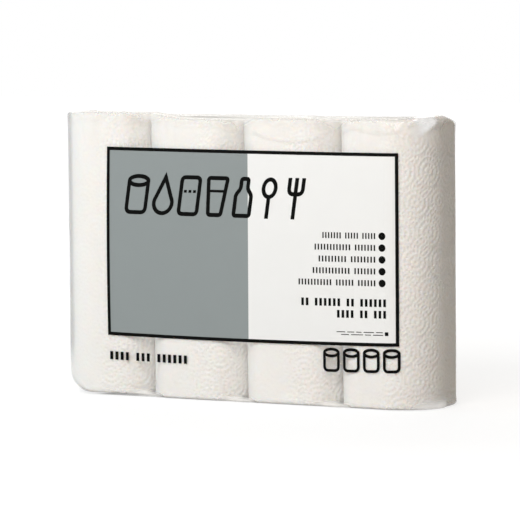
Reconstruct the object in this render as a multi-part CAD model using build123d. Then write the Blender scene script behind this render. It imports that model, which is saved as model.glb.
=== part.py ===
from build123d import *
import math
import os

# Four kitchen rolls that stand in a row, sealed in one wrap of clear film.
# Millimetres, +Z up. The origin is under the middle of the pack, at the lowest fold of the film.
# The row runs along X and the front of the pack faces -Y.

# The rolls
ROLL_COUNT = 4
ROLL_WIDTH = 97.0  # along the row, so also the pitch of the rolls, which press against each other
ROLL_DEPTH = 98.0  # front to back
ROLL_HEIGHT = 260.0  # width of the paper web
PRESSED_FLAT = 30.0  # flat where two rolls press together
FREE_FLAT = 14.0  # flat on the open side of the first and the last roll
ROLL_BEVEL = 3.5  # crushed edge at both ends of a roll
SHEET_THICKNESS = 0.45  # one sheet as wound, seen at the end of the outer sheet
SHEET_END_FLAT = 5.0  # least flat on the back, on each side of the outer sheet's end

# The turns seen on the ends of a roll
WINDING_TURNS = 4
TURN_POINTS = 16
WINDING_WIDTH = 0.9
WINDING_DEPTH = 1.0
WINDING_MARGIN = 4.0  # plain ring beside the core and beside the bevel
WINDING_POWER = 2.6  # above 2, a turn follows the pressed outline of the roll

# The card cores
CORE_BORE = 40.0
CORE_WALL = 1.0
CORE_CLEARANCE = 0.1  # between a core and the first turn of its roll

# The film
FILM_WALL = 0.2
FILM_CLEARANCE = 0.2  # between the film and the sides of the rolls
FILM_HEADROOM = 0.3  # between the film and the top of the rolls
FLAP_OVERLAP = 30.0  # lap of the front and back flaps, on the top and under the base
SEAM_WIDTH = 20.0  # lap of the film down the back

# Sizes that follow
half_width = ROLL_WIDTH / 2
half_depth = ROLL_DEPTH / 2
core_radius = CORE_BORE / 2 + CORE_WALL
bore_radius = core_radius + CORE_CLEARANCE
film_layers = 3 * FILM_WALL  # one wall and two flaps, one over the other
film_outset = FILM_CLEARANCE + FILM_WALL
film_bevel = ROLL_BEVEL + FILM_WALL * (2 - math.sqrt(2))  # keeps the wall over the rolls' bevels
film_inner_height = ROLL_HEIGHT + FILM_HEADROOM
film_outer_height = film_inner_height + 2 * FILM_WALL
film_half_length = ROLL_COUNT * half_width + film_outset
film_half_depth = half_depth + film_outset
pack_height = film_inner_height + 2 * film_layers


def corner_radius(flat):
    """Radius that leaves a flat of this width on a roll's side and room for the sheet's end behind."""
    return min(half_depth - flat / 2, half_width - SHEET_END_FLAT)


def roll_section(left_flat, right_flat):
    """Section of a roll: pressed round, with the step of the outer sheet's end on its back."""
    left = corner_radius(left_flat)
    right = corner_radius(right_flat)
    under_sheet = half_depth - SHEET_THICKNESS
    outline = FilletPolyline(
        (0, under_sheet),
        (-half_width, under_sheet),
        (-half_width, -half_depth),
        (half_width, -half_depth),
        (half_width, half_depth),
        (0, half_depth),
        radius=[left, left, right, right],
    )
    sheet_end = Line((0, half_depth), (0, under_sheet))
    return make_face([outline, sheet_end])


def winding_side(offset):
    """Points of one side of the spiral groove, from the core out to the rim."""
    start = bore_radius + WINDING_MARGIN
    rim_x = half_width - ROLL_BEVEL - WINDING_MARGIN
    rim_y = half_depth - ROLL_BEVEL - WINDING_MARGIN
    points = []
    for step in range(WINDING_TURNS * TURN_POINTS + 1):
        angle = 2 * math.pi * step / TURN_POINTS
        along = abs(math.cos(angle) / rim_x) ** WINDING_POWER
        across = abs(math.sin(angle) / rim_y) ** WINDING_POWER
        rim = (along + across) ** (-1 / WINDING_POWER)
        share = step / (WINDING_TURNS * TURN_POINTS)
        radius = start + share * (rim - start) + offset
        points.append((radius * math.cos(angle), radius * math.sin(angle)))
    return points


def winding_grooves():
    """The spiral of the turns, cut into the top and the bottom end of a roll."""
    outer = winding_side(WINDING_WIDTH / 2)
    inner = winding_side(-WINDING_WIDTH / 2)
    spiral = make_face(Polyline(*outer, *reversed(inner), close=True))
    groove = extrude(spiral, WINDING_DEPTH)
    return groove + Pos(0, 0, ROLL_HEIGHT - WINDING_DEPTH) * groove


def towel_roll(left_flat, right_flat):
    """One roll of paper, standing on z = 0, with the bore for its core."""
    body = extrude(roll_section(left_flat, right_flat), ROLL_HEIGHT)
    ends = body.faces().filter_by(Axis.Z).edges()
    body = chamfer(ends, ROLL_BEVEL)
    bore = extrude(Circle(bore_radius), ROLL_HEIGHT)
    return body - bore - winding_grooves()


def core_tube():
    """The card core, cut to the length of its roll."""
    return extrude(Circle(core_radius) - Circle(CORE_BORE / 2), ROLL_HEIGHT)


def film_block(outset, height, bevel):
    """A solid the size of the row of rolls, grown all round and bevelled at its ends as they are."""
    length = 2 * (ROLL_COUNT * half_width + outset)
    depth = 2 * (half_depth + outset)
    outline = RectangleRounded(length, depth, corner_radius(FREE_FLAT) + outset)
    block = extrude(outline, height)
    return chamfer(block.faces().filter_by(Axis.Z).edges(), bevel)


def end_flaps():
    """Front and back flaps of the film, folded in over the tucked ends, lying on z = 0."""
    reach = film_half_depth - film_bevel
    flap_depth = reach + FLAP_OVERLAP / 2
    long_half = film_half_length - film_outset - corner_radius(FREE_FLAT)
    short_half = long_half - flap_depth
    flap = make_face(
        Polyline(
            (-long_half, -reach),
            (long_half, -reach),
            (short_half, flap_depth - reach),
            (-short_half, flap_depth - reach),
            close=True,
        )
    )
    front = extrude(flap, FILM_WALL)
    back = mirror(front, about=Plane.XZ)
    lap = Pos(0, 0, FILM_WALL) * (front & back)
    return front + back + lap


def back_seam():
    """The lap down the back where the two edges of the film are sealed."""
    seam_height = film_outer_height - 2 * film_bevel
    strip = Box(SEAM_WIDTH, FILM_WALL, seam_height)
    return Pos(0, film_half_depth + FILM_WALL / 2, pack_height / 2) * strip


def film_wrap():
    """The clear film: a closed skin with folded flaps at both ends and a seam down the back."""
    outside = Pos(0, 0, film_layers - FILM_WALL) * film_block(
        film_outset, film_outer_height, film_bevel
    )
    inside = Pos(0, 0, film_layers) * film_block(FILM_CLEARANCE, film_inner_height, ROLL_BEVEL)
    top_flaps = Pos(0, 0, pack_height - film_layers + FILM_WALL) * end_flaps()
    base_flaps = Pos(0, 0, pack_height) * mirror(top_flaps, about=Plane.XY)
    return outside - inside + top_flaps + base_flaps + back_seam()


os.makedirs("parts", exist_ok=True)

export_step(film_wrap(), "parts/film_wrap.step")

for number in range(1, ROLL_COUNT + 1):
    place = Pos((number - (ROLL_COUNT + 1) / 2) * ROLL_WIDTH, 0, film_layers)
    left_flat = FREE_FLAT if number == 1 else PRESSED_FLAT
    right_flat = FREE_FLAT if number == ROLL_COUNT else PRESSED_FLAT
    export_step(place * towel_roll(left_flat, right_flat), f"parts/towel_roll_{number}.step")
    export_step(place * core_tube(), f"parts/core_tube_{number}.step")
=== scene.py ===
import math

import bmesh
import bpy
import numpy as np
from mathutils import Matrix, Vector

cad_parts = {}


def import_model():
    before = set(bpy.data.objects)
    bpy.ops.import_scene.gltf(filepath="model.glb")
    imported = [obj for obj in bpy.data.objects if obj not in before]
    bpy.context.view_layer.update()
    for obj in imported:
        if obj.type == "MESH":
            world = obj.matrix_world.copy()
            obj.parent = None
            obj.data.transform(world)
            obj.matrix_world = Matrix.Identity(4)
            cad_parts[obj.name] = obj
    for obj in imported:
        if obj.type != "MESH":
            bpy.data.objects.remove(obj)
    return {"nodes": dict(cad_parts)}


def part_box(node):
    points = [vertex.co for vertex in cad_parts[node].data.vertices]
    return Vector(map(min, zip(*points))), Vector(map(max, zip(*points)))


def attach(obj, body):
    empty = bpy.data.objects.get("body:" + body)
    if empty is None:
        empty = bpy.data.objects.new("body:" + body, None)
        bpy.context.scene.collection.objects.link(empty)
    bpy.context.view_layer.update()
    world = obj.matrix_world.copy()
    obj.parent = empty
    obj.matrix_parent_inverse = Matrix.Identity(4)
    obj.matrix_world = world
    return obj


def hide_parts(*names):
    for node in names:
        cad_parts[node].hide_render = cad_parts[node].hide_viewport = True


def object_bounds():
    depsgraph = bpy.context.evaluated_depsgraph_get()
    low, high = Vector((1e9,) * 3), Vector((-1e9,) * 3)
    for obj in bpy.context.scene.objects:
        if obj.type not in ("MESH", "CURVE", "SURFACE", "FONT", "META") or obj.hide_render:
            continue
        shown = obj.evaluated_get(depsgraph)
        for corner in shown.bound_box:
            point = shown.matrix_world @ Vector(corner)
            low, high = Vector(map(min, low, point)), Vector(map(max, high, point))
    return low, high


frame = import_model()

# A row of kitchen rolls sealed in clear printed film. Metres, +Z up, the front faces -Y.
cad_low, cad_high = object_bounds()
MM = 0.001

# The nodes, from left to right
ROLL_NODES = sorted(name for name in frame["nodes"] if name.startswith("towel_roll"))
CORE_NODES = sorted(name for name in frame["nodes"] if name.startswith("core_tube"))
film_low, film_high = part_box("film_wrap")
END_CENTRE = sum(corner.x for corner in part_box(CORE_NODES[-1])) / 2  # middle of the last roll in the row

# Rolls
PRESSED_LEFT_RADIUS = 26 * MM  # corners where two rolls press together, on the left of a roll
PRESSED_RIGHT_RADIUS = 28 * MM  # and on its right
FREE_RADIUS = 42 * MM  # corners at the open ends of the row
ROLL_RIM = 2.4 * MM  # soft rim at the base of a roll
TOP_RIM = 3.2 * MM  # and at its top
PRESSED_RIM_LOSS = 0.7  # share of the top rim lost where two rolls press together
CORNER_RIM = 4.5 * MM  # more rim at the base, where a roll meets the next
CRUSHED_RIM = 19 * MM  # rim at the lower left end of the row, pushed in
CRUSHED_REACH = 44 * MM
RIGHT_RIM = 4.5 * MM  # soft fold at the upper right end of the row, inward
RIGHT_DROP = 13 * MM  # and downward
FAR_RIM = 8 * MM  # the same at the far right
FAR_DROP = 4 * MM
SHEET_STEP = 0.45 * MM  # end of the outer sheet, on the back
ROLL_SLACK = 0.5 * MM  # soft unevenness of the outer sheet
SLACK_PITCH = (24 * MM, 60 * MM)  # its spacing round the roll and up
ROLL_CELL = 1.05 * MM  # mesh spacing
END_ROWS = 18
RIM_ROWS = 9
BORE_ROWS = 3
BORE_CLEARANCE = 0.1 * MM  # between a core and its roll
END_TURNS = 9  # turns of the spiral that stand out on an end
FINE_TURNS = 71  # turns of sheet in a roll
TURN_DEPTH = 0.45 * MM
END_ROUGHNESS = 0.3 * MM
END_MARGIN = 0.08  # smooth share of an end, beside the core and beside the rim
PERFORATION_SHARE = 0.13  # place of the tear line, as a share of the way round
PERFORATION_PITCH = 5 * MM
PERFORATION_WIDTH = 0.9 * MM
PERFORATION_DEPTH = 0.5 * MM

# Embossing: rings of short dashes round staggered centres, with dots between
EMBOSS_DEPTH = 1.45 * MM
PRESSED_EMBOSS = 0.25  # share of the depth at the front left, where the film presses
PRESSED_FADE = 22 * MM  # width in which the full depth comes back
TOP_EMBOSS_LOSS = 0.6  # share of the depth that is lost near the top
TOP_EMBOSS = (225 * MM, 20 * MM)  # height where that begins, and its reach
CENTRE_PITCH = 28 * MM
CENTRE_ROW = 27 * MM
RING_RADII = (5.2 * MM, 10.2 * MM, 14.6 * MM)
RING_WIDTH = 0.95 * MM
DASH_PITCH = 3.5 * MM
DOT_PITCH = 6 * MM
DOT_RADIUS = 1.1 * MM
DOT_SHARE = 0.35  # depth of the dots between the rings

# Film
FILM_CELL = 1.5 * MM
FILM_CAP_ROWS = 14
FILM_WELD = 0.005 * MM
FLAP_ROOM = 0.4 * MM  # from the skin to the ends of the pack, for the flaps
FILM_RIM = 2.4 * MM  # tight fold of the film at both ends
FLAP_OVERLAP = 30 * MM
SEAM_WIDTH = 20 * MM
BORE_SAG = 0.7 * MM  # dip of the film over a bore
BACK_LIFT = 0.6 * MM  # loose film along the upper back edge
BACK_LIFT_REACH = 6 * MM
FLARE = 2.5 * MM  # the film stands out at the foot of the right end
FLARE_HEIGHT = 8 * MM
TOP_FOLDS = 13 * MM  # reach of the folds below the top
BASE_FOLDS = 9 * MM  # and above the base
GATHERS = (9 * MM, 35 * MM)  # spacing of the upright folds along the film and up
CRUMPLES = (11 * MM, 10 * MM)  # of the short folds
CRUMPLE_SLANT = 0.6
WAVES = (45 * MM, 70 * MM)  # of the wide swells
SIDE_FOLDS = (7 * MM, 45 * MM)  # and of the folds down the left end
CAP_GATHERS = 10 * MM
CAP_WAVES = 18 * MM
CAP_VEIL = 0.85  # milkiness at a flat angle, on the ends
PATCH_VEIL = 0.6  # and on the flaps and the lap
STRIP_HEIGHT = 4.6 * MM  # milky strip of film along the base
GAP_WIDTH = 13 * MM  # the strip is strongest below the gaps
BRIDGE_SHIFT = 7 * MM  # free film in front of a gap, from the plane where two rolls meet
BRIDGE_WIDTH = 11 * MM
QUIET_LOW = 22 * MM  # the front is smooth between these heights
QUIET_HIGH = 243 * MM
QUIET_FADE = 12 * MM
QUIET_SIDE = 190 * MM  # and between its ends
QUIET_SIDE_FADE = 15 * MM

# Where the soft pack changes along the row: a start and the reach of the change
RIGHT_END = (135 * MM, 40 * MM)
RIGHT_FOOT = (170 * MM, 20 * MM)
FAR_RIGHT = (182 * MM, 12 * MM)

# The same to the left of the middle
LEFT_END = (140 * MM, 40 * MM)
LEFT_PUSH = (150 * MM, 30 * MM)
# The band at the left end carries painted shade on the film's front.
LEFT_BAND = (173 * MM, 8 * MM)
FAR_LEFT = (180 * MM, 14 * MM)
LEFT_BAND_FOOT = (25 * MM, 25 * MM)  # the band at the left begins above the base

# Bright corner at the upper right, where the film is double, along the film and up
CORNER_START = (173 * MM, 14 * MM)
CORNER_BASE = (238 * MM, 10 * MM)
CORNER_END = (188 * MM, 242 * MM)  # a point on its slanting end
CORNER_SLOPE = 1.25
CORNER_FADE = 6 * MM

# The pack stands up along its upper front edge: places and heights in millimetres
LIP_PLACES = (-194, -170, -150, -90, -72, -50, 0, 25, 60, 104, 149, 163, 175, 186, 194)
LIP_HEIGHTS = (3.8, 5.3, 5.8, 5.8, 3.0, 0.7, 0.3, 2.8, 2.2, 1.9, 2.9, 2.2, 4.2, 4.8, 3.2)
LIP_FROM = (10 * MM, 20 * MM)  # where this begins in front of the row's middle, and its reach

# Its lower front edge stands off the floor at the left end
RISE_PLACES = (-194, -155, -102, -87, -71)
RISE_HEIGHTS = (1.0, 1.8, 1.8, 1.0, 0.0)
RISE_FROM = (24 * MM, 22 * MM)
HEAVE_REACH = 60 * MM  # distance up or down in which both die out
HEAVE_BEHIND = 25 * MM  # and distance to the back

# Sideways settling of the pack at its base and its top, in millimetres
SETTLE_PLACES = (-194.4, -150.0, -97.0, 0.0, 97.0, 194.4)
SETTLE_BASE = (1.3, 0.0, 1.7, 2.6, 3.7, 0.0)
SETTLE_TOP = (1.3, 0.0, 0.0, 0.6, 3.1, 0.0)

# Single creases in the film: strength, then three points of an arc in millimetres
FRONT_CREASES = (
    (0.5, (18, 250), (57, 242), (97, 249.5)),
    (0.5, (110, 249.8), (123, 254.2), (134, 250.8)),
    (0.35, (134, 251.3), (150, 250), (168, 251.5)),
    (1.0, (174, 254.5), (181, 257.5), (188, 262)),
    (1.0, (186, 262), (190, 258.5), (195, 254)),
    (1.0, (193, 254.5), (202, 258), (211, 255.5)),
    (1.0, (209, 255), (215, 258.5), (221, 262)),
    (1.0, (200, 262), (204, 258), (209, 253.5)),
)
CREASE_WIDTH = 1.3 * MM
CREASE_HEIGHT = 0.8 * MM
CREASE_ENDS = 5 * MM

# Print on the front, measured along the film from the middle of the front
PRINT_LEFT = -132.3 * MM
PRINT_RIGHT = 164.6 * MM
PRINT_TOP = 232.6 * MM
PRINT_BOTTOM = 59.5 * MM
PRINT_SPLIT = 14.3 * MM  # border of the grey and the white field
PRINT_LEAN = 0.6 * MM  # the left end of the print leans out at the base and in at the top
PRINT_TAPER = 0.55 * MM  # and it is a little taller there
PRINT_SAG = 1.5 * MM  # its lower edge hangs in the middle
PRINT_SAG_TOP = 0.45 * MM  # and so does its upper edge
PRINT_BOW = 0.9 * MM  # its left edge bows out
FRAME_STROKE = 3.1 * MM
PRINT_LIFT = 0.12 * MM
PRINT_THICKNESS = 0.06 * MM
UPPER_LIFT = PRINT_LIFT + 2 * PRINT_THICKNESS  # for ink that lies on the fields
PRINT_CELL = 4 * MM

# Line of signs in the panel
TITLE_Z = 191 * MM
TITLE_CENTRES = (-101, -73, -46, -18, 10, 36, 63)  # in millimetres
TITLE_STROKE = 3.8 * MM
TITLE_SLANT = 0.14

# Lines of small marks in the panel, and one below it
LINES_RIGHT = 144.5 * MM
BULLET_X = 150.4 * MM
BULLET_RADIUS = 3.4 * MM
FIRST_LINE_Z = 158.6 * MM
LINE_PITCH = 10.75 * MM
LINE_STARTS = (90, 82, 86, 80, 65.5)  # in millimetres
LINE_WORDS = ((7, 5, 5), (12, 7), (9, 8), (12, 7), (11, 6, 6))
LINE_HEIGHT = 5.4 * MM
LINE_INK = 0.46  # share of a mark's pitch that is ink
BOLD_HEIGHT = 7.0 * MM
BOLD_RIGHT = 155 * MM
BOLD_INK = 0.56
FINE_HEIGHT = 0.7 * MM
FINE_RIGHT = 151 * MM
LOWER_HEIGHT = 7.6 * MM

# Little rolls below the panel
ROLL_SIGN_Z = 44.3 * MM
ROLL_SIGN_CENTRES = (99, 119, 139, 159)  # in millimetres
ROLL_SIGN_STROKE = 2.7 * MM

# Floor and light: for a lamp its name, azimuth and elevation, distance, size, power and colour
FLOOR_SIZE = 6.0
FLOOR_Z = -0.3 * MM
LAMPS = (
    ("key", 7, 33, 2.0, 1.2, 29, (1, 0.965, 0.945)),
    ("left", -62, 32, 1.7, 1.2, 9.2, (0.66, 0.87, 1)),
    ("back", 212, 35, 1.8, 1.2, 14, (1, 0.97, 0.92)),
)
DOME_COLOUR = (1, 0.84, 0.64, 1)
DOME_STRENGTH = 0.18

# Camera, at the photograph's angle
CAMERA_YAW = 27.04
CAMERA_PITCH = 4.89
CAMERA_ROLL = -0.5
CAMERA_FOCUS = 3621.7  # in pixels of a frame 520 wide
FRAME_PIXELS = 520
CAMERA_DISTANCE = 3.385
CAMERA_AIM_RIGHT = 1.15 * MM
CAMERA_AIM_HEIGHT = 128.2 * MM


# Mesh helpers

def link(name, data):
    """Puts a mesh, a lamp or a camera into the scene."""
    made = bpy.data.objects.new(name, data)
    bpy.context.scene.collection.objects.link(made)
    return made


def grid_faces(rows, columns, wrap_rows=False, wrap_columns=False, start=0):
    """Corner indices of the quads of a grid of points."""
    row = np.arange(rows if wrap_rows else rows - 1)
    column = np.arange(columns if wrap_columns else columns - 1)
    r, c = np.meshgrid(row, column, indexing="ij")
    r2, c2 = (r + 1) % rows, (c + 1) % columns
    corners = [r * columns + c, r * columns + c2, r2 * columns + c2, r2 * columns + c]
    return np.stack(corners, axis=-1).reshape(-1, 4) + start


def mesh_object(name, points, faces, smooth=True):
    mesh = bpy.data.meshes.new(name)
    mesh.from_pydata(np.asarray(points).reshape(-1, 3).tolist(), [], np.asarray(faces).tolist())
    mesh.polygons.foreach_set("use_smooth", [smooth] * len(mesh.polygons))
    mesh.update()
    return link(name, mesh)


def set_attribute(piece, name, values):
    attribute = piece.data.attributes.new(name, "FLOAT", "POINT")
    attribute.data.foreach_set("value", np.asarray(values, np.float32).ravel())


def clean_mesh(piece, weld=0.0):
    """Joins points that fall together, or else turns all faces outward."""
    shape = bmesh.new()
    shape.from_mesh(piece.data)
    if weld:
        bmesh.ops.remove_doubles(shape, verts=shape.verts, dist=weld)
    else:
        bmesh.ops.recalc_face_normals(shape, faces=shape.faces)
    shape.to_mesh(piece.data)
    shape.free()


def smooth_step(x):
    x = np.clip(x, 0, 1)
    return x * x * (3 - 2 * x)


def ramp(value, start, reach):
    """0 up to a start and 1 from a reach beyond it, with a smooth rise between."""
    return smooth_step((value - start) / reach)


def bell(x):
    """1 in the middle, with a smooth fall to both sides."""
    return np.exp(-(x ** 2))


def value_noise(u, v, seed):
    """Smooth noise from 0 to 1 over two coordinates, the same on each run."""
    size = 64
    table = np.random.default_rng(seed).random((size, size))
    u, v = np.broadcast_arrays(u, v)
    iu, iv = np.floor(u).astype(int), np.floor(v).astype(int)
    fu, fv = smooth_step(u - iu), smooth_step(v - iv)
    a, b = table[iu % size, iv % size], table[(iu + 1) % size, iv % size]
    c, d = table[iu % size, (iv + 1) % size], table[(iu + 1) % size, (iv + 1) % size]
    return (a * (1 - fu) + b * fu) * (1 - fv) + (c * (1 - fu) + d * fu) * fv


def ridges(u, v, seed):
    """Noise folded into sharp crests, as creases are."""
    return (1 - np.abs(2 * value_noise(u, v, seed) - 1)) ** 3


def outline(corners, radii, cell):
    """Even points, outward normals and lengths along an open path with rounded left turns."""
    corners = [np.array(c, float) for c in corners]
    dense = [corners[0][None]]
    turn = np.linspace(0, math.pi / 2, 90)[:, None]
    for before, corner, radius in zip(corners, corners[1:], radii):
        ahead = (corner - before) / np.linalg.norm(corner - before)
        left = np.array([-ahead[1], ahead[0]])
        start = corner - ahead * radius
        dense.append(start + left * radius * (1 - np.cos(turn)) + ahead * radius * np.sin(turn))
    dense.append(corners[-1][None])
    dense = np.vstack(dense)
    length = np.r_[0, np.cumsum(np.linalg.norm(np.diff(dense, axis=0), axis=1))]
    total = length[-1]
    along = np.linspace(0, total, round(total / cell) + 1)

    def place(s):
        s = np.clip(s, 0, total)
        return np.stack([np.interp(s, length, dense[:, 0]), np.interp(s, length, dense[:, 1])], axis=-1)

    step = place(along + 0.1 * MM) - place(along - 0.1 * MM)
    step /= np.linalg.norm(step, axis=1)[:, None]
    normals = np.stack([step[:, 1], -step[:, 0]], axis=-1)
    return place(along), normals, along


# Material helpers

def node(tree, kind, inputs=(), **settings):
    """Adds a node. A socket given as an input is linked, and any other value is set."""
    made = tree.nodes.new("ShaderNode" + kind)
    for name, value in settings.items():
        setattr(made, name, value)
    for name, value in dict(inputs).items():
        if isinstance(value, bpy.types.NodeSocket):
            tree.links.new(value, made.inputs[name])
        else:
            made.inputs[name].default_value = value
    return made


def new_tree(name):
    material = bpy.data.materials.new(name)
    material.use_nodes = True
    material.node_tree.nodes.clear()
    return material, material.node_tree


def finish_tree(tree, surface):
    node(tree, "OutputMaterial", {"Surface": surface})


def mix_colour(tree, factor, first, second):
    return node(tree, "Mix", {0: factor, 6: first, 7: second}, data_type="RGBA").outputs[2]


def math_node(tree, operation, first, second=0.0):
    return node(tree, "Math", {0: first, 1: second}, operation=operation).outputs[0]


def weighted(tree, *terms):
    """Sum of values, each times its weight."""
    total = 0.0
    for value, weight in terms:
        total = math_node(tree, "ADD", math_node(tree, "MULTIPLY", value, weight), total)
    return total


def to_range(tree, value, low, high, start=0.0, end=1.0):
    inputs = {"Value": value, "From Min": start, "From Max": end, "To Min": low, "To Max": high}
    return node(tree, "MapRange", inputs).outputs["Result"]


def noise(tree, vector, scale, detail=3.0, roughness=0.5):
    inputs = {"Vector": vector, "Scale": scale, "Detail": detail, "Roughness": roughness}
    return node(tree, "TexNoise", inputs).outputs["Fac"]


def bump_normal(tree, height, strength, distance):
    inputs = {"Strength": strength, "Distance": distance, "Height": height}
    return node(tree, "Bump", inputs).outputs["Normal"]


def shader(tree, kind, inputs=()):
    return node(tree, kind, inputs).outputs[0]


def attribute(tree, name):
    return node(tree, "Attribute", attribute_name=name).outputs["Fac"]


def object_place(tree):
    return node(tree, "TexCoord").outputs["Object"]


def stretched(tree, vector, scale):
    return node(tree, "Mapping", {"Vector": vector, "Scale": scale}).outputs["Vector"]


# Materials

def paper_material():
    """Soft white tissue: fibres, crepe lines along the roll, and painted shade in the dents of the embossing
    and the grooves of the end spiral.
    """
    material, tree = new_tree("tissue_paper")
    place = object_place(tree)
    fibres = noise(tree, place, 1500, 5, 0.65)
    crepe = noise(tree, stretched(tree, place, (1, 1, 0.09)), 2400, 2)
    cloud = noise(tree, place, 28, 2)
    relief = attribute(tree, "relief")
    lines = math_node(tree, "COSINE", math_node(tree, "MULTIPLY", attribute(tree, "layer"), 2 * math.pi))
    sheet = mix_colour(tree, cloud, (0.885, 0.865, 0.835, 1), (0.915, 0.900, 0.875, 1))
    sheet = mix_colour(tree, to_range(tree, fibres, 0.0, 0.10), sheet, (0.80, 0.77, 0.73, 1))
    # Painted shade: the emboss depth darkens the paper's colour in the dents and in the spiral grooves of the
    # ends.
    shade = math_node(tree, "MULTIPLY", relief, 0.30)
    colour = mix_colour(tree, shade, sheet, (0.80, 0.765, 0.715, 1))
    height = weighted(tree, (fibres, 0.6), (crepe, 0.7), (lines, 0.25))
    finish_tree(tree, shader(tree, "BsdfPrincipled", {
        "Base Color": colour,
        "Roughness": to_range(tree, fibres, 0.84, 0.98),
        "Specular IOR Level": 0.2,
        "Sheen Weight": 0.1,
        "Sheen Roughness": 0.6,
        "Subsurface Weight": 0.4,
        "Subsurface Radius": (1.0, 0.75, 0.55),
        "Subsurface Scale": 6 * MM,
        "Normal": bump_normal(tree, height, 0.4, 0.25 * MM),
    }))
    return material


def board_material(name, axis_x):
    """Grey-brown card, wound in a spiral whose seams run round the core."""
    material, tree = new_tree(name)
    place = object_place(tree)
    parts = node(tree, "SeparateXYZ", {0: place}).outputs
    angle = math_node(tree, "ARCTAN2", parts["Y"], math_node(tree, "SUBTRACT", parts["X"], axis_x))
    spiral = weighted(tree, (angle, 1 / (2 * math.pi)), (parts["Z"], 1 / (95 * MM)))
    seam = math_node(tree, "LESS_THAN", math_node(tree, "FRACT", spiral), 0.012)
    fibres = noise(tree, stretched(tree, place, (1, 1, 0.4)), 900, 5, 0.7)
    cloud = noise(tree, place, 60, 3)
    card = mix_colour(tree, cloud, (0.36, 0.285, 0.205, 1), (0.46, 0.375, 0.285, 1))
    card = mix_colour(tree, to_range(tree, fibres, 0.0, 0.6), card, (0.52, 0.44, 0.345, 1))
    colour = mix_colour(tree, seam, card, (0.20, 0.15, 0.10, 1))
    height = weighted(tree, (fibres, 0.5), (seam, -1.0))
    finish_tree(tree, shader(tree, "BsdfPrincipled", {
        "Base Color": colour,
        "Roughness": to_range(tree, fibres, 0.78, 0.95),
        "Specular IOR Level": 0.25,
        "Normal": bump_normal(tree, height, 0.5, 0.2 * MM),
    }))
    return material


def film_material():
    """Clear film: see-through, with gloss, haze where it is creased, a veil at a flat angle, and a darker
    tint that is partly doubled film and partly painted shade.
    """
    material, tree = new_tree("clear_film")
    place = object_place(tree)
    streaks = noise(tree, stretched(tree, place, (1, 1, 0.15)), 420, 4, 0.6)
    ripples = noise(tree, place, 55, 3)
    height = weighted(tree, (streaks, 0.2), (ripples, 1.0))
    bump = bump_normal(tree, height, 0.15, 0.6 * MM)
    facing = node(tree, "LayerWeight", {"Blend": 0.5, "Normal": bump}).outputs["Facing"]
    veil = math_node(tree, "MULTIPLY", attribute(tree, "veil"), math_node(tree, "POWER", facing, 4.0))
    thin = to_range(tree, streaks, 0.0, 0.03)
    haze = weighted(tree, (thin, 1.0), (attribute(tree, "haze"), 1.0), (veil, 1.0))
    # Darker tint from an attribute: doubled film in the folds at the left end, and painted shade below
    # creases, along the base and top rims and down the left end.
    fold_and_painted_shade = attribute(tree, "fold_and_painted_shade")
    tint = mix_colour(tree, fold_and_painted_shade, (0.99, 0.992, 0.995, 1), (0.66, 0.645, 0.65, 1))
    milk = mix_colour(tree, fold_and_painted_shade, (0.95, 0.94, 0.92, 1), (0.58, 0.565, 0.57, 1))
    clear = shader(tree, "BsdfTransparent", {"Color": tint})
    milky = shader(tree, "BsdfDiffuse", {"Color": milk, "Normal": bump})
    body = shader(tree, "MixShader", {0: haze, 1: clear, 2: milky})
    gloss = shader(tree, "BsdfGlossy", {
        "Color": (0.95, 0.95, 0.95, 1),
        "Roughness": to_range(tree, ripples, 0.12, 0.24),
        "Normal": bump,
    })
    edge = to_range(tree, math_node(tree, "POWER", facing, 5.0), 0.025, 0.25)
    shine = weighted(tree, (edge, 1.0), (attribute(tree, "glint"), 1.0))
    finish_tree(tree, shader(tree, "MixShader", {0: shine, 1: body, 2: gloss}))
    return material


def ink_material(name, colour, shade, specular, through):
    """Satin print on film, uneven as from a wide roller, that lets a share of the light through."""
    material, tree = new_tree(name)
    place = object_place(tree)
    cloud = noise(tree, place, 35, 3)
    grain = noise(tree, place, 2600, 2)
    mixed = mix_colour(tree, to_range(tree, cloud, 0.0, 0.8), colour, shade)
    mixed = mix_colour(tree, to_range(tree, grain, 0.0, 0.12), mixed, shade)
    ripples = noise(tree, place, 40, 2)
    layer = shader(tree, "BsdfPrincipled", {
        "Base Color": mixed,
        "Roughness": to_range(tree, cloud, 0.38, 0.5),
        "Specular IOR Level": specular,
        "Normal": bump_normal(tree, ripples, 0.08, 0.5 * MM),
    })
    passed = math_node(tree, "MULTIPLY", node(tree, "LightPath").outputs["Is Shadow Ray"], through)
    thin = shader(tree, "BsdfTransparent")
    finish_tree(tree, shader(tree, "MixShader", {0: passed, 1: layer, 2: thin}))
    return material


# Rolls

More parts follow.
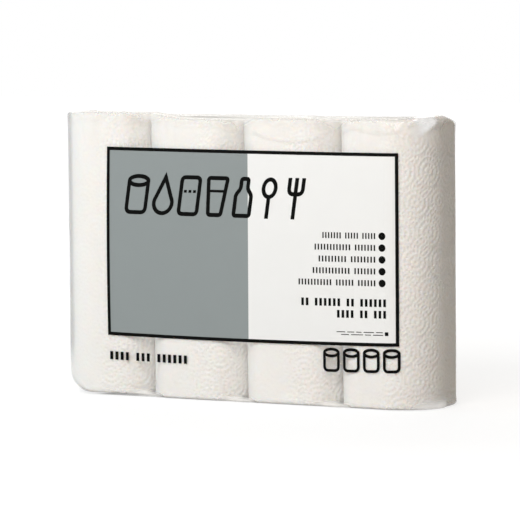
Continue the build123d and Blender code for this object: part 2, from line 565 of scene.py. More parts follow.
def emboss(along, up):
    """Depth share of the embossing at a place on the sheet, from 0 to 1."""
    along, up = np.broadcast_arrays(along, up)
    best = np.full(along.shape, np.inf)
    best_x, best_z = np.zeros(along.shape), np.zeros(along.shape)
    base_row = np.floor(up / CENTRE_ROW)
    for row in (base_row, base_row + 1):
        shift = (row % 2) * CENTRE_PITCH / 2
        centre = np.round((along - shift) / CENTRE_PITCH) * CENTRE_PITCH + shift
        dx, dz = along - centre, up - row * CENTRE_ROW
        distance = np.hypot(dx, dz)
        nearer = distance < best
        best = np.where(nearer, distance, best)
        best_x, best_z = np.where(nearer, dx, best_x), np.where(nearer, dz, best_z)
    angle = np.arctan2(best_z, best_x)
    depth = bell(best / DOT_RADIUS)
    for ring, radius in enumerate(RING_RADII):
        count = round(2 * math.pi * radius / DASH_PITCH)
        dash = smooth_step(0.4 + 0.75 * np.cos(angle * count + ring))
        depth = np.maximum(depth, dash * bell((best - radius) / RING_WIDTH))
    column = np.round(along / DOT_PITCH)
    dot_z = up - (column % 2) * DOT_PITCH / 2
    dot = np.hypot(along - column * DOT_PITCH, dot_z - np.round(dot_z / DOT_PITCH) * DOT_PITCH)
    outside = ramp(best, RING_RADII[-1] + 2 * RING_WIDTH, 2 * MM)
    return np.maximum(depth, DOT_SHARE * outside * bell(dot / DOT_RADIUS))


def perforation(along, total, z):
    """The tear line: one column of short cuts up the side of a roll."""
    across = bell((along - PERFORATION_SHARE * total) / PERFORATION_WIDTH)
    return across * smooth_step(0.5 + np.cos(2 * math.pi * z / PERFORATION_PITCH))


def lower_rim(x, rim):
    """Rim radius at the base, grown at the left end of the row where the pack is pushed in."""
    left_end = smooth_step((cad_low.x + CRUSHED_REACH - x) / CRUSHED_REACH)
    return rim + (CRUSHED_RIM - rim) * left_end


def upper_rim(x, rim):
    """How far the rim at the top goes inward and down. Both change at the right end of the row."""
    right_end = ramp(x, *RIGHT_END)
    far_right = ramp(x, *FAR_RIGHT)
    inward = rim + (RIGHT_RIM - rim) * right_end + (FAR_RIM - RIGHT_RIM) * far_right
    down = rim + (RIGHT_DROP - rim) * right_end + (FAR_DROP - RIGHT_DROP) * far_right
    return inward, down


def between(x, places, sizes):
    """Size at a place along the row, from a table in millimetres."""
    return np.interp(x, np.array(places) * MM, np.array(sizes) * MM)


def settle(x, z):
    """Sideways shift of the soft pack at a place along the row and a height."""
    base = between(x, SETTLE_PLACES, SETTLE_BASE)
    top = between(x, SETTLE_PLACES, SETTLE_TOP)
    return base + (top - base) * z / film_high.z


def heave(flat, z):
    """How far the soft pack stands up along its upper front edge, and off the floor at the lower left."""
    x, y = flat[:, 0], flat[:, 1]
    forward = np.hypot(np.maximum(np.abs(x) - END_CENTRE, 0), np.minimum(y, 0))
    upper = between(x, LIP_PLACES, LIP_HEIGHTS) * ramp(forward, *LIP_FROM)
    lower = between(x, RISE_PLACES, RISE_HEIGHTS) * ramp(forward, *RISE_FROM)
    upper = upper * np.clip(1 - (film_high.z - z) / HEAVE_REACH, 0, 1)
    lower = lower * np.clip(1 - z / HEAVE_REACH, 0, 1)
    return (upper + lower) * smooth_step(1 - y / HEAVE_BEHIND)


def towel_roll(name, cad_node, core_node, first, last, seed):
    """One roll: an embossed outer sheet, soft rims, wound ends and the bore round its core."""
    low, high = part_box(cad_node)
    core_low, core_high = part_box(core_node)
    centre = np.array([(core_low.x + core_high.x) / 2, 0.0])
    bore_radius = (core_high.x - core_low.x) / 2 + BORE_CLEARANCE
    left = FREE_RADIUS if first else PRESSED_LEFT_RADIUS
    right = FREE_RADIUS if last else PRESSED_RIGHT_RADIUS
    corners = [
        (centre[0], high.y - SHEET_STEP),
        (low.x, high.y - SHEET_STEP),
        (low.x, low.y),
        (high.x, low.y),
        (high.x, high.y),
        (centre[0], high.y),
    ]
    points, normals, along = outline(corners, (left, left, right, right), ROLL_CELL)
    spoke = points - centre
    bore = centre + bore_radius * spoke / np.linalg.norm(spoke, axis=1)[:, None]
    turn_share = np.arctan2(spoke[:, 1], spoke[:, 0]) / (2 * math.pi)
    beside_next = 0 if last else ramp(normals[:, 0], 0.8, 0.2)
    beside_previous = 0 if first else ramp(-normals[:, 0], 0.8, 0.2)
    free_share = 1 - PRESSED_RIM_LOSS * (beside_next + beside_previous)
    rim_low = lower_rim(points[:, 0], ROLL_RIM) + CORNER_RIM * beside_next
    rim_high, drop = (size * free_share for size in upper_rim(points[:, 0], TOP_RIM))
    height = high.z - low.z
    leftward = 1 - smooth_step(0.3 + (points[:, 0] - centre[0]) / PRESSED_FADE)
    strength = 1 - (1 - PRESSED_EMBOSS) * leftward * ramp(-normals[:, 1], -0.3, 0.6)
    places, reliefs, layers = [], [], []

    def add_row(flat, z, relief, layer):
        places.append(np.column_stack([flat, low.z + z + heave(flat, low.z + z)]))
        reliefs.append(np.broadcast_to(relief, len(flat)))
        layers.append(np.broadcast_to(layer, len(flat)))

    def add_end_row(share, rim, z, inward):
        spiral = (0.5 + 0.5 * np.cos(2 * math.pi * (share * END_TURNS - turn_share))) ** 4
        rough = value_noise(share * 40 + seed, turn_share * 24, seed + 5)
        fade = smooth_step(share / END_MARGIN) * smooth_step((1 - share) / END_MARGIN)
        dip = (TURN_DEPTH * spiral + END_ROUGHNESS * rough) * fade
        edge = points - normals * rim[:, None]
        edge[:, 0] += settle(edge[:, 0], z)
        add_row(bore + share * (edge - bore), z + inward * dip, 0.5 * spiral, share * FINE_TURNS)

    def add_sheet_row(inset, z, fade):
        pressed = 1 - TOP_EMBOSS_LOSS * ramp(z, *TOP_EMBOSS)
        relief = emboss(along + seed * 11 * MM, z + seed * 7 * MM) * fade * strength * pressed
        slack = value_noise(along / SLACK_PITCH[0] + seed, z / SLACK_PITCH[1], seed)
        depth = relief * EMBOSS_DEPTH + slack * ROLL_SLACK
        depth = depth + perforation(along, along[-1], z) * PERFORATION_DEPTH
        flat = points - normals * (inset + depth)[:, None]
        flat[:, 0] += settle(flat[:, 0], z)
        add_row(flat, z, relief, FINE_TURNS)

    for share in np.linspace(0, 1, END_ROWS, endpoint=False):
        add_end_row(share, rim_low, 0.0, 1)
    for turn in np.linspace(0, math.pi / 2, RIM_ROWS, endpoint=False):
        add_sheet_row(rim_low * (1 - math.sin(turn)), rim_low * (1 - math.cos(turn)), math.sin(turn))
    for share in np.linspace(0, 1, round((height - 2 * ROLL_RIM) / ROLL_CELL) + 1):
        add_sheet_row(0 * rim_low, rim_low + share * (height - rim_low - drop), 1.0)
    for turn in np.linspace(math.pi / 2, 0, RIM_ROWS, endpoint=False)[1:]:
        bend_down = drop * (1 - math.cos(turn))
        add_sheet_row(rim_high * (1 - math.sin(turn)), height - bend_down, math.sin(turn))
    for share in np.linspace(1, 0, END_ROWS):
        add_end_row(share, rim_high, height, -1)
    for share in np.linspace(1, 0, BORE_ROWS + 2)[1:-1]:
        add_row(bore, share * height, 0.0, 0.0)

    piece = mesh_object(name, places, grid_faces(len(places), len(points), True, True))
    # The relief is the emboss depth, and the spiral on the ends; the paper's colour also uses it as painted
    # shade.
    set_attribute(piece, "relief", reliefs)
    set_attribute(piece, "layer", layers)
    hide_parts(cad_node)
    return piece


# Film

HALF_LENGTH = film_high.x
FRONT = film_low.y
BACK = -film_low.y
END_RADIUS = FREE_RADIUS + (HALF_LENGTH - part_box(ROLL_NODES[-1])[1].x)
FLAT_HALF = HALF_LENGTH - END_RADIUS  # straight part of the front
FILM_BASE = film_low.z + FLAP_ROOM
FILM_TOP = film_high.z - FLAP_ROOM
FILM_HEIGHT = FILM_TOP - FILM_BASE
PITCH = 2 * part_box(ROLL_NODES[-1])[1].x / len(ROLL_NODES)  # of the rolls along the row


def front_place(across, up, lift):
    """Point on the front of the film, from a distance along it and a height."""
    across, up, lift = np.broadcast_arrays(across, up, lift)
    turn = np.maximum(np.abs(across) - FLAT_HALF, 0) / END_RADIUS
    reach = np.minimum(np.abs(across), FLAT_HALF) + (END_RADIUS + lift) * np.sin(turn)
    y = FRONT + END_RADIUS - (END_RADIUS + lift) * np.cos(turn)
    return np.stack([np.sign(across) * reach, y, up], axis=-1)


def front_crease(across, z):
    """Height share of the single creases at a place on the film, and how much of it is the lower side."""
    crest = np.zeros(np.broadcast(across, z).shape)
    under = np.zeros(crest.shape)
    for strength, *arc in FRONT_CREASES:
        (x0, z0), (x1, z1), (x2, z2) = np.array(arc) * MM
        curve = np.poly1d(np.polyfit([x0, x1, x2], [z0, z1, z2], 2))
        share = strength * smooth_step(np.minimum(across - x0, x2 - across) / CREASE_ENDS + 0.3)
        off = (z - curve(across)) / (CREASE_WIDTH * np.hypot(1, np.polyder(curve)(across)))
        crest = np.maximum(crest, share * bell(off))
        under = np.maximum(under, share * bell(off + 1))
    return crest, under


def cap_sag(x, y):
    """How far the film on the top dips over the bores."""
    sag = np.zeros(np.shape(x))
    for core in CORE_NODES:
        core_low, core_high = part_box(core)
        radius = (core_high.x - core_low.x) / 2
        distance = np.hypot(x - (core_low.x + core_high.x) / 2, y)
        sag = np.maximum(sag, BORE_SAG * smooth_step(1 - distance / radius))
    return sag


def film_wrap(material):
    """The film: a closed skin over the row, flaps folded over both ends and a lap down the back."""
    corners = [
        (0, BACK),
        (-HALF_LENGTH, BACK),
        (-HALF_LENGTH, FRONT),
        (HALF_LENGTH, FRONT),
        (HALF_LENGTH, BACK),
        (0, BACK),
    ]
    points, normals, along = outline(corners, (END_RADIUS,) * 4, FILM_CELL)
    across = (along - along[-1] / 2)[:-1]
    points, normals, along = points[:-1], normals[:-1], along[:-1]
    x, facing = points[:, 0], normals[:, 1]
    medial = np.column_stack([np.clip(x, BACK - HALF_LENGTH, HALF_LENGTH - BACK), 0 * x])
    behind = ramp(facing, 0, 0.4)
    before = ramp(-facing, 0, 0.3)
    right_end = ramp(x, *RIGHT_END)
    left_end = ramp(-x, *LEFT_END)
    end_push = ramp(-x, *LEFT_PUSH)
    far_left = ramp(-x, *FAR_LEFT)
    left_front = ramp(-facing, 0.1, 0.3)
    foot = ramp(x, *RIGHT_FOOT) * ramp(-facing, -0.1, 0.3)
    rim_low = lower_rim(x, FILM_RIM)
    rim_high, drop = upper_rim(x, FILM_RIM)
    ruffle = value_noise(along / (13 * MM), 0.5, 8) ** 2 + 0.25 * value_noise(along / (4 * MM), 0.5, 9)
    lift = BACK_LIFT * ruffle * (0.25 + 0.75 * behind)
    off_plane = (x + PITCH / 2) % PITCH - PITCH / 2
    notch = bell(off_plane / GAP_WIDTH) * (np.abs(x) < 1.5 * PITCH)
    off_bridge = (x - BRIDGE_SHIFT + PITCH / 2) % PITCH - PITCH / 2
    bridge = before * bell(off_bridge / BRIDGE_WIDTH) * (np.abs(x) < 1.4 * PITCH)
    rows = []
    looks = {"haze": [], "veil": [], "fold_and_painted_shade": [], "glint": []}

    def add_row(flat, z, haze, veil=0, fold_and_painted_shade=0, glint=0):
        shifted = flat[:, 0] + end_push * settle(flat[:, 0], z)
        rows.append(np.column_stack([shifted, flat[:, 1], z + heave(flat, z)]))
        values = (np.clip(haze, 0, 0.9), veil, np.clip(fold_and_painted_shade, 0, 1), glint)
        for name, value in zip(looks, values):
            looks[name].append(np.broadcast_to(value, len(flat)))

    def add_wall_row(inset, z):
        below_top = FILM_HEIGHT - z
        near_top = np.exp(-below_top / TOP_FOLDS)
        near_base = np.exp(-z / BASE_FOLDS)
        quiet = before * smooth_step(np.minimum(z - QUIET_LOW, QUIET_HIGH - z) / QUIET_FADE)
        quiet = quiet * smooth_step((QUIET_SIDE - np.abs(x)) / QUIET_SIDE_FADE)
        gathers = ridges(along / GATHERS[0], z / GATHERS[1], 3)
        waves = value_noise(along / WAVES[0], z / WAVES[1], 4)
        crumple = ridges((along + CRUMPLE_SLANT * z) / CRUMPLES[0], z / CRUMPLES[1], 5)
        side = ridges(along / SIDE_FOLDS[0], z / SIDE_FOLDS[1], 11) * far_left
        crest, under = front_crease(across, FILM_BASE + z)

        # Shape: folds at the top and the base, the single creases and the flare at the foot
        top_folds = 0.3 * gathers + 1.8 * before * right_end * crumple + 0.7 * behind * gathers
        top_folds = near_top * top_folds
        base_folds = near_base * (0.2 * gathers + 0.8 * right_end * crumple)
        spread = foot * bell(z / FLARE_HEIGHT)
        out = 0.2 * waves + 0.08 * gathers + top_folds + base_folds + 0.5 * side
        out = out * (1 - quiet) * MM + crest * CREASE_HEIGHT + spread * FLARE
        rise = lift * np.exp(-below_top / BACK_LIFT_REACH)
        flat = points - normals * (inset - out)[:, None]

        # Haze: creased film is milky, and so is the strip along the base
        strip = bell((z / STRIP_HEIGHT) ** 2) * (1 - left_end) * (0.2 + 0.8 * notch)
        top_band = smooth_step((z - FILM_HEIGHT + 12 * MM) / (12 * MM))
        haze = 0.35 * top_folds + 0.3 * base_folds + 0.25 * side * left_front
        haze = (haze + 0.85 * strip + 0.2 * top_band) * (1 - quiet)
        haze = haze + 0.15 * bridge + 0.25 * np.maximum(crest, under) + 0.6 * spread

        # Darker film tint: doubled film in the folds down the left end; painted shade in a band down the
        # front of the left end and below a crease; a painted dark line along the base and the back top edge;
        # painted shade along the front top rim
        edge_line = np.exp(-z / (0.8 * MM)) + behind * np.exp(-below_top / (0.8 * MM))
        rim_shade = before * bell(below_top / (2 * MM))
        left_band = ramp(-x, *LEFT_BAND) * ramp(z, *LEFT_BAND_FOOT)
        fold_and_painted_shade = (0.3 * side + 0.4 * left_band) * left_front
        fold_and_painted_shade = fold_and_painted_shade + 0.4 * under * (1 - crest) + 0.5 * edge_line + 0.1 * rim_shade

        # Glint: the bright corner at the upper right, and the flared foot
        slant = CORNER_END[0] + CORNER_SLOPE * (z - CORNER_END[1])
        corner = ramp(across, *CORNER_START) * smooth_step((slant - across) / CORNER_FADE)
        corner = corner * ramp(z, *CORNER_BASE)
        glint = corner * (0.35 + 0.25 * crumple) + 0.4 * spread
        add_row(flat, FILM_BASE + z + rise, haze, fold_and_painted_shade=fold_and_painted_shade, glint=glint)

    def add_cap_row(share, rim, z, upward):
        edge = points - normals * rim[:, None]
        flat = medial + share * (edge - medial)
        gathers = ridges(along / CAP_GATHERS, share * 3, 6) * smooth_step(share * 1.2)
        rise = 0 * gathers
        if upward:
            waves = value_noise(flat[:, 0] / CAP_WAVES, flat[:, 1] / CAP_WAVES, 7)
            rise = (0.2 * gathers * share + 0.15 * waves) * MM + lift * ramp(share, 0.7, 0.3)
            rise = rise - cap_sag(flat[:, 0], flat[:, 1])
        add_row(flat, z + rise, 0.06 + 0.1 * gathers * share, veil=CAP_VEIL)

    fine_base = np.linspace(0, 1, 16, endpoint=False) * 0.09
    middle = np.linspace(0.09, 0.88, 34, endpoint=False)
    fine_top = np.linspace(0.88, 1, 30)
    for share in np.linspace(0, 1, FILM_CAP_ROWS, endpoint=False):
        add_cap_row(share, rim_low, FILM_BASE, False)
    for turn in np.linspace(0, math.pi / 2, RIM_ROWS, endpoint=False):
        add_wall_row(rim_low * (1 - math.sin(turn)), rim_low * (1 - math.cos(turn)))
    for share in (*fine_base, *middle, *fine_top):
        add_wall_row(0 * rim_low, rim_low + share * (FILM_HEIGHT - rim_low - drop))
    for turn in np.linspace(math.pi / 2, 0, RIM_ROWS, endpoint=False)[1:]:
        add_wall_row(rim_high * (1 - math.sin(turn)), FILM_HEIGHT - drop * (1 - math.cos(turn)))
    for share in np.linspace(1, 0, FILM_CAP_ROWS):
        add_cap_row(share, rim_high, FILM_TOP, True)

    all_points = [np.vstack(rows)]
    all_faces = [grid_faces(len(rows), len(points), False, True)]
    count = len(all_points[0])
    for patch, haze in (*end_flaps(FILM_TOP, 1), *end_flaps(FILM_BASE, -1), back_seam()):
        all_points.append(patch.reshape(-1, 3))
        all_faces.append(grid_faces(*patch.shape[:2], start=count))
        for name, value in zip(looks, (haze.ravel(), PATCH_VEIL, 0, 0)):
            looks[name].append(np.broadcast_to(value, haze.size))
        count += haze.size
    piece = mesh_object("film_wrap_skin", np.vstack(all_points), np.vstack(all_faces))
    for name, values in looks.items():
        set_attribute(piece, name, np.concatenate(values))
    clean_mesh(piece, weld=FILM_WELD)
    piece.data.materials.append(material)
    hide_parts("film_wrap")
    return piece


def end_flaps(z, side):
    """Front and back flaps over one end of the pack: narrowing strips that lap in the middle."""
    reach = BACK - FILM_RIM
    depth = reach + FLAP_OVERLAP / 2
    patches = []
    for order, facing in enumerate((-1, 1)):
        across, inward = np.meshgrid(np.linspace(-1, 1, 81), np.linspace(0, 1, 21), indexing="ij")
        x = across * (FLAT_HALF - inward * depth)
        y = facing * (reach - inward * depth)
        free_edge = np.maximum(ramp(inward, 0.8, 0.2), ramp(np.abs(across), 0.9, 0.1))
        folds = ridges(x / (13 * MM), y / (30 * MM), 20 + order)
        if side > 0:
            lift = (0.3 + 0.35 * order) * smooth_step(inward / 0.1) + 0.2 * folds
            curl = 0.3 + 0.8 * value_noise(x / (20 * MM), y / (20 * MM), 30 + order)
            height = z + (lift + free_edge * curl) * MM - cap_sag(x, y)
        else:
            height = z - (0.13 + 0.13 * order) * smooth_step(inward / 0.1) * MM
        haze = 0.05 + 0.15 * folds * free_edge + 0.15 * free_edge
        patches.append((np.stack([x, y, height], axis=-1), haze))
    return patches


def back_seam():
    """The lap down the back, a strip that stands a little off the film."""
    across, up = np.meshgrid(np.linspace(-1, 1, 13), np.linspace(0, 1, 121), indexing="ij")
    x = across * SEAM_WIDTH / 2
    z = FILM_BASE + ROLL_RIM + up * (FILM_HEIGHT - 2 * ROLL_RIM)
    waves = value_noise(x / (6 * MM), z / (14 * MM), 40)
    edge = ramp(np.abs(across), 0.7, 0.3)
    y = BACK + (0.35 + 0.35 * waves + 0.25 * edge) * MM
    return np.stack([x, y, z], axis=-1), 0.1 + 0.16 * edge


# Print

class Ink:
    """Collects flat bands and lays them on the front of the film as one thin layer."""

    def __init__(self, lift, slant=0.0):
        self.lift = lift
        self.slant = slant
        self.points = []
        self.faces = []
        self.count = 0

    def band(self, path, width, closed=False, over=False):
        """A line of even width along points in x and z, with mitred corners, raised if it crosses another."""
        path = np.array(path, float)
        ahead = np.roll(path, -1, axis=0) - path
        if not closed:
            ahead[-1] = ahead[-2]
        ahead /= np.linalg.norm(ahead, axis=1)[:, None]
        behind = np.roll(ahead, 1, axis=0)
        if not closed:
            behind[0] = ahead[0]
        side = np.stack([-ahead[:, 1], ahead[:, 0]], axis=-1)
        mitre = side + np.stack([-behind[:, 1], behind[:, 0]], axis=-1)
        mitre *= width / 2 / (mitre * side).sum(axis=1)[:, None]
        rows = len(path)
        ring = np.stack([path + mitre, path - mitre, path - mitre, path + mitre], axis=1)
        base = self.lift + (PRINT_THICKNESS / 2 if over else 0)
        lift = base + np.array([PRINT_THICKNESS, PRINT_THICKNESS, 0, 0])[None, :]
        x, z = ring[..., 0] + self.slant * (ring[..., 1] - TITLE_Z), ring[..., 1]
        leftward = (PRINT_RIGHT - x) / (PRINT_RIGHT - PRINT_LEFT)
        upward = (2 * z - PRINT_TOP - PRINT_BOTTOM) / (PRINT_TOP - PRINT_BOTTOM)
        sag = PRINT_SAG_TOP + (PRINT_SAG - PRINT_SAG_TOP) * (1 - upward) / 2
        x = x + PRINT_LEAN * leftward * upward - PRINT_BOW * leftward * np.clip(1 - upward ** 2, 0, 1)
        z = z + PRINT_TAPER * (2 * leftward - 1) * upward - sag * 4 * leftward * (1 - leftward)
        self.points.append(front_place(x, z, lift).reshape(-1, 3))
        faces = grid_faces(rows, 4, closed, True, self.count).tolist()
        if not closed:
            first, last = self.count, self.count + 4 * (rows - 1)
            faces += [[first + k for k in range(4)], [last + k for k in (3, 2, 1, 0)]]
        self.faces += faces
        self.count += 4 * rows

    def bar(self, left, right, z, height):
        steps = max(2, round((right - left) / PRINT_CELL) + 1)
        self.band([(x, z) for x in np.linspace(left, right, steps)], height)

    def ring(self, x, z, radius, width, flat=1.0):
        turns = np.linspace(0, 2 * math.pi, 40, endpoint=False)
        path = [(x + radius * math.cos(t), z + flat * radius * math.sin(t)) for t in turns]
        self.band(path, width, closed=True, over=True)

    def dot(self, x, z, radius):
        hole = 0.1 * MM
        self.ring(x, z, (radius + hole) / 2, radius - hole)

    def words(self, left, right, z, height, shares):
        """A line of bars, as long as words are, that fills a width."""
        gap = 2.2 * MM
        room = right - left - gap * (len(shares) - 1)
        for share in shares:
            width = room * share / sum(shares)
            self.bar(left, left + width, z, height)
            left += width + gap

    def marks(self, left, right, z, height, words, share):
        """A line of upright marks in groups, as words are, that fills a width."""
        pitch = (right - left) / (sum(words) + len(words) - 1)
        x = left + pitch / 2
        for word in words:
            for _ in range(word):
                self.band([(x, z - height / 2), (x, z + height / 2)], share * pitch)
                x += pitch
            x += pitch

    def piece(self, name, material):
        made = mesh_object(name, np.vstack(self.points), self.faces, smooth=False)
        clean_mesh(made)
        made.data.materials.append(material)
        return made


def rounded(points, cut, closed=True):
    """Points in millimetres turned into a path in metres with rounded corners."""
    points = np.array(points, float) * MM
    share = np.linspace(0, 1, 7)[:, None]
    path = []
    for index, corner in enumerate(points):
        if not closed and index in (0, len(points) - 1):
            path.append(corner[None])
            continue
        before, after = points[index - 1], points[(index + 1) % len(points)]
        a = corner + (before - corner) * cut * MM / np.linalg.norm(before - corner)
        b = corner + (after - corner) * cut * MM / np.linalg.norm(after - corner)
        path.append((1 - share) ** 2 * a + 2 * share * (1 - share) * corner + share ** 2 * b)
    return np.vstack(path)


def printed_panel(black, grey, white):
    """The framed panel: a grey and a white field side by side in a black line."""
    middle, height = (PRINT_TOP + PRINT_BOTTOM) / 2, PRINT_TOP - PRINT_BOTTOM
    grey_field = Ink(PRINT_LIFT)
    grey_field.bar(PRINT_LEFT, PRINT_SPLIT, middle, height)
    white_field = Ink(PRINT_LIFT)
    white_field.bar(PRINT_SPLIT, PRINT_RIGHT, middle, height)
    line = Ink(UPPER_LIFT)
    across = np.linspace(PRINT_LEFT, PRINT_RIGHT, round((PRINT_RIGHT - PRINT_LEFT) / PRINT_CELL))
    lower = [(x, PRINT_BOTTOM) for x in across]
    upper = [(x, PRINT_TOP) for x in across[::-1]]
    left = [(PRINT_LEFT, z) for z in np.linspace(PRINT_TOP, PRINT_BOTTOM, 20)[1:-1]]
    line.band(lower + upper + left, FRAME_STROKE, True)
    return [
        grey_field.piece("print_grey_field", grey),
        white_field.piece("print_white_field", white),
        line.piece("print_frame_line", black),
    ]


def title_signs(black):
    """Seven plain kitchen signs in one line: roll, drop, sheet, tumbler, bottle, spoon and fork."""
    ink = Ink(UPPER_LIFT, TITLE_SLANT)
    places = [np.array([x * MM, TITLE_Z]) for x in TITLE_CENTRES]
    roll, drop, sheet, tumbler, bottle, spoon, fork = places
    ink.band(roll + rounded([(-10, 12), (-10, -17), (10, -17), (10, 12)], 5, closed=False), TITLE_STROKE)
    ink.ring(roll[0], roll[1] + 12.5 * MM, 10 * MM, TITLE_STROKE, 0.42)
    turns = np.radians(np.linspace(-212, 32, 40))
    round_end = [(9.5 * math.cos(t), 9.5 * math.sin(t) - 7.5) for t in turns]
    ink.band(drop + np.array([*round_end, (0, 16.5)]) * MM, TITLE_STROKE, True)
    ink.band(sheet + rounded([(-9.5, -17), (9.5, -17), (9.5, 17), (-9.5, 17)], 4), TITLE_STROKE, True)
    for x in (-4.8, 0, 4.8):
        ink.bar(sheet[0] + (x - 1.5) * MM, sheet[0] + (x + 1.5) * MM, sheet[1] + 4 * MM, 2.6 * MM)
    ink.band(tumbler + rounded([(-6.5, -17), (6.5, -17), (10, 17), (-10, 17)], 2.5), TITLE_STROKE, True)
    ink.bar(tumbler[0] - 7 * MM, tumbler[0] + 7 * MM, tumbler[1] + 5 * MM, 2.4 * MM)
    glass = [(-8, -17), (8, -17), (8, 2), (3.6, 8), (3.6, 17), (-3.6, 17), (-3.6, 8), (-8, 2)]
    ink.band(bottle + rounded(glass, 2.2), TITLE_STROKE, True)
    ink.ring(spoon[0], spoon[1] + 9 * MM, 6.2 * MM, TITLE_STROKE, 1.3)
    ink.band(spoon + np.array([(0, 0.5), (0, -19)]) * MM, TITLE_STROKE)
    ink.band(fork + rounded([(-7, 19), (-7, 4), (7, 4), (7, 19)], 5, closed=False), TITLE_STROKE)
    ink.band(fork + np.array([(0, 19), (0, -19)]) * MM, TITLE_STROKE, over=True)
    return ink.piece("print_signs", black)


def small_lines(black):
    """Lines of plain upright marks where a wrapper carries its small print."""
    ink = Ink(UPPER_LIFT)
    for row, (start, words) in enumerate(zip(LINE_STARTS, LINE_WORDS)):
        z = FIRST_LINE_Z - row * LINE_PITCH
        ink.marks(start * MM, LINES_RIGHT, z, LINE_HEIGHT, words, LINE_INK)
        ink.dot(BULLET_X, z, BULLET_RADIUS)
    ink.marks(68 * MM, BOLD_RIGHT, 97.5 * MM, BOLD_HEIGHT, (2, 6, 2, 6), BOLD_INK)
    ink.marks(104 * MM, BOLD_RIGHT, 87 * MM, BOLD_HEIGHT, (4, 2, 3), BOLD_INK)
    ink.words(104.5 * MM, FINE_RIGHT, 70.6 * MM, FINE_HEIGHT, (5, 4, 3, 6, 4))
    ink.words(109 * MM, FINE_RIGHT, 68.2 * MM, FINE_HEIGHT, (4, 6, 3, 5))
    ink.bar(152.8 * MM, 156.2 * MM, 69.4 * MM, 3.4 * MM)
    ink.marks(-133 * MM, -49 * MM, 39 * MM, LOWER_HEIGHT, (4, 3, 6), BOLD_INK)
    return ink.piece("print_small_lines", black)


def roll_signs(black):
    """Four little rolls below the panel, one for each roll in the pack."""
    ink = Ink(PRINT_LIFT)
    sides = rounded([(-7, 7), (-7, -9.5), (7, -9.5), (7, 7)], 4, closed=False)
    for x in ROLL_SIGN_CENTRES:
        place = np.array([x * MM, ROLL_SIGN_Z])
        ink.band(place + sides, ROLL_SIGN_STROKE)
        ink.ring(place[0], place[1] + 7 * MM, 7 * MM, ROLL_SIGN_STROKE, 0.45)
    return ink.piece("print_roll_signs", black)


# Stage, light and camera

def seen_directly(tree):
    """1 for rays that show the surroundings, to the eye or in a gloss, and 0 for light that falls."""
    path = node(tree, "LightPath").outputs
    gloss = math_node(tree, "MAXIMUM", path["Is Glossy Ray"], path["Is Transmission Ray"])
    return math_node(tree, "MAXIMUM", path["Is Camera Ray"], gloss)


def stage():
    """A wide pale floor that keeps a soft shadow near the pack and is white further out."""
    signs = ((-1, -1), (1, -1), (1, 1), (-1, 1))
    corners = [(a * FLOOR_SIZE, b * FLOOR_SIZE, FLOOR_Z) for a, b in signs]
    floor = mesh_object("floor", corners, [(0, 1, 2, 3)], False)
    material, tree = new_tree("pale_floor")
    place = object_place(tree)
    shade = mix_colour(tree, noise(tree, place, 12, 2), (0.70, 0.69, 0.675, 1), (0.74, 0.73, 0.715, 1))
    plain = shader(tree, "BsdfDiffuse", {"Color": shade})
    bright = shader(tree, "BsdfDiffuse", {"Color": (0.95, 0.95, 0.95, 1)})
    white = shader(tree, "Emission", {"Color": (1, 1, 1, 1), "Strength": 1.1})
    apart = node(tree, "VectorMath", {0: place}, operation="LENGTH").outputs["Value"]
    fade = to_range(tree, apart, 0.7, 1.0, 0.35, 1.1)
    shown = shader(tree, "MixShader", {0: fade, 1: bright, 2: white})
    finish_tree(tree, shader(tree, "MixShader", {0: seen_directly(tree), 1: plain, 2: shown}))
    floor.data.materials.append(material)


def world():
    """White behind the object, and a plainer dome for the light that falls on it."""
    made = bpy.data.worlds.new("studio")
    bpy.context.scene.world = made
    made.use_nodes = True
    tree = made.node_tree
    tree.nodes.clear()
    dome = shader(tree, "Background", {"Color": DOME_COLOUR, "Strength": DOME_STRENGTH})
    white = shader(tree, "Background", {"Color": (1, 1, 1, 1), "Strength": 1.0})
    mixed = shader(tree, "MixShader", {0: seen_directly(tree), 1: dome, 2: white})
    node(tree, "OutputWorld", {"Surface": mixed})


def soft_light(name, azimuth, elevation, distance, size, power, colour):
    """A soft square lamp that faces the middle of the pack."""
    data = bpy.data.lights.new(name, "AREA")
    data.size = size
    data.energy = power
    data.color = colour
    lamp = link(name, data)
    a, e = math.radians(azimuth), math.radians(elevation)
    away = Vector((math.sin(a) * math.cos(e), -math.cos(a) * math.cos(e), math.sin(e)))
    lamp.location = away * distance + Vector((0, 0, film_high.z / 2))
    lamp.rotation_euler = away.to_track_quat("Z", "Y").to_euler()


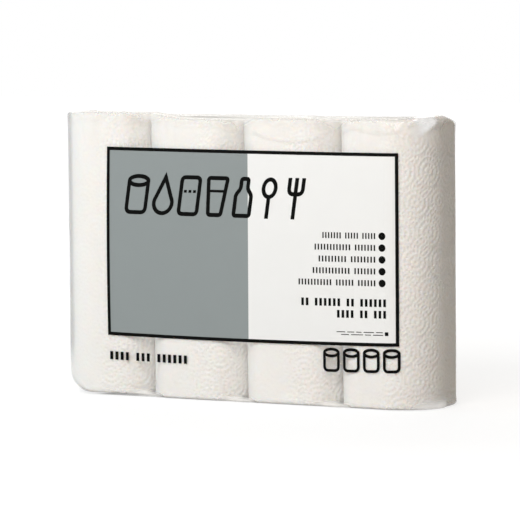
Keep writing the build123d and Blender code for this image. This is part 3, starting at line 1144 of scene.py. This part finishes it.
def camera():
    yaw, pitch, roll = (math.radians(a) for a in (CAMERA_YAW, CAMERA_PITCH, CAMERA_ROLL))
    ahead = Vector((-math.sin(yaw) * math.cos(pitch), math.cos(yaw) * math.cos(pitch), -math.sin(pitch)))
    level = Vector((math.cos(yaw), math.sin(yaw), 0))
    upward = level.cross(ahead)
    target = level * CAMERA_AIM_RIGHT + Vector((0, 0, CAMERA_AIM_HEIGHT))
    right = level * math.cos(roll) + upward * math.sin(roll)
    up = upward * math.cos(roll) - level * math.sin(roll)
    turned = Matrix((right, up, -ahead)).transposed().to_4x4()
    data = bpy.data.cameras.new("camera")
    data.angle = 2 * math.atan(FRAME_PIXELS / 2 / CAMERA_FOCUS)
    data.clip_end = 50
    made = link("camera", data)
    made.matrix_world = Matrix.Translation(target - ahead * CAMERA_DISTANCE) @ turned
    bpy.context.scene.camera = made


# Build

paper = paper_material()
clear = film_material()
black = ink_material("ink_black", (0.0035, 0.0038, 0.0036, 1), (0.005, 0.0053, 0.005, 1), 0.03, 0.0)
grey = ink_material("ink_grey", (0.265, 0.298, 0.302, 1), (0.251, 0.283, 0.288, 1), 0.4, 0.85)
white = ink_material("ink_white", (0.86, 0.87, 0.87, 1), (0.825, 0.835, 0.835, 1), 0.4, 0.85)

rolls = []
for index, (roll_node, core_node) in enumerate(zip(ROLL_NODES, CORE_NODES)):
    first, last = index == 0, index == len(ROLL_NODES) - 1
    roll = towel_roll(f"{roll_node}_paper", roll_node, core_node, first, last, index + 1)
    roll.data.materials.append(paper)
    rolls.append(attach(roll, "root"))
    core = frame["nodes"][core_node]
    core_low, core_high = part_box(core_node)
    core.data.materials.clear()
    core.data.materials.append(board_material(f"{core_node}_board", (core_low.x + core_high.x) / 2))

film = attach(film_wrap(clear), "root")
print_pieces = [
    *printed_panel(black, grey, white),
    title_signs(black),
    small_lines(black),
    roll_signs(black),
]
for piece in print_pieces:
    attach(piece, "root")

stage()
world()
for lamp in LAMPS:
    soft_light(*lamp)
camera()
bpy.context.scene.view_settings.view_transform = "Standard"
